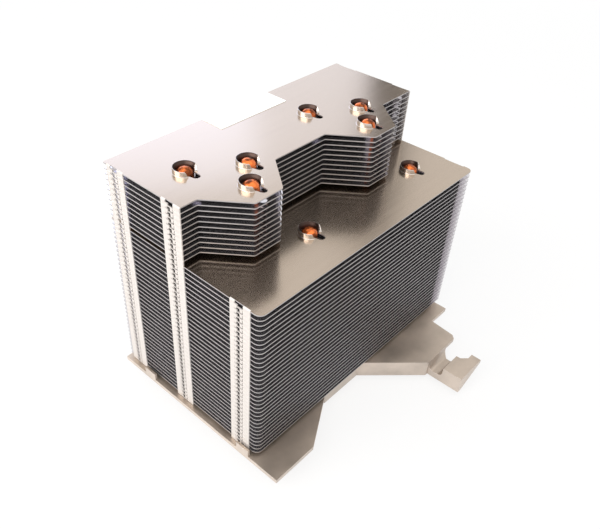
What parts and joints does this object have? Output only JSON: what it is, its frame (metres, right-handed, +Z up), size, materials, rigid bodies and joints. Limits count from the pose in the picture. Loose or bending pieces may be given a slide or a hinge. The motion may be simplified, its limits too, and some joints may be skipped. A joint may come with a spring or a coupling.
{
  "type": "passive server cpu heatsink",
  "caption": "Tall passive processor heatsink: stepped stack of folded aluminium fins on U-shaped copper heat pipes, cast base frame with clip pads.",
  "frame": {"origin": "centre of the contact face, at the underside of the contact plate", "axes": "+X along the pipes' runs, to the right seen from the stepped side; +Y to the straight back of the fins; +Z up the fin stack"},
  "size_m": [0.1228, 0.1328, 0.1012],
  "materials": {
    "fin_aluminium": "bright rolled sheet, softly mirrored on the wide faces, matt pale folds",
    "frame_aluminium": "satin cast and tumbled, warm grey",
    "pipe_copper": "bright copper, a little oxidised",
    "plate_copper": "milled copper",
    "label_paper": "plain white label, bare"
  },
  "bodies": {
    "root": {"fin_01": "fin_aluminium", "fin_02": "fin_aluminium", "fin_03": "fin_aluminium", "fin_04": "fin_aluminium", "fin_05": "fin_aluminium", "fin_06": "fin_aluminium", "fin_07": "fin_aluminium", "fin_08": "fin_aluminium", "fin_09": "fin_aluminium", "fin_10": "fin_aluminium", "fin_11": "fin_aluminium", "fin_12": "fin_aluminium", "fin_13": "fin_aluminium", "fin_14": "fin_aluminium", "fin_15": "fin_aluminium", "fin_16": "fin_aluminium", "fin_17": "fin_aluminium", "fin_18": "fin_aluminium", "fin_19": "fin_aluminium", "fin_20": "fin_aluminium", "fin_21": "fin_aluminium", "fin_22": "fin_aluminium", "fin_23": "fin_aluminium", "fin_24": "fin_aluminium", "fin_25": "fin_aluminium", "fin_26": "fin_aluminium", "fin_27": "fin_aluminium", "fin_28": "fin_aluminium", "fin_29": "fin_aluminium", "fin_30": "fin_aluminium", "fin_31": "fin_aluminium", "fin_32": "fin_aluminium", "fin_33": "fin_aluminium", "fin_34": "fin_aluminium", "fin_35": "fin_aluminium", "fin_36": "fin_aluminium", "fin_37": "fin_aluminium", "fin_38": "fin_aluminium", "fin_39": "fin_aluminium", "fin_40": "fin_aluminium", "fin_41": "fin_aluminium", "fin_42": "fin_aluminium", "fin_43": "fin_aluminium", "fin_44": "fin_aluminium", "fin_45": "fin_aluminium", "heat_pipe_1": "pipe_copper", "heat_pipe_2": "pipe_copper", "heat_pipe_3": "pipe_copper", "heat_pipe_4": "pipe_copper", "base_frame": "frame_aluminium", "contact_plate": "plate_copper", "label": "label_paper"}
  },
  "joints": []
}
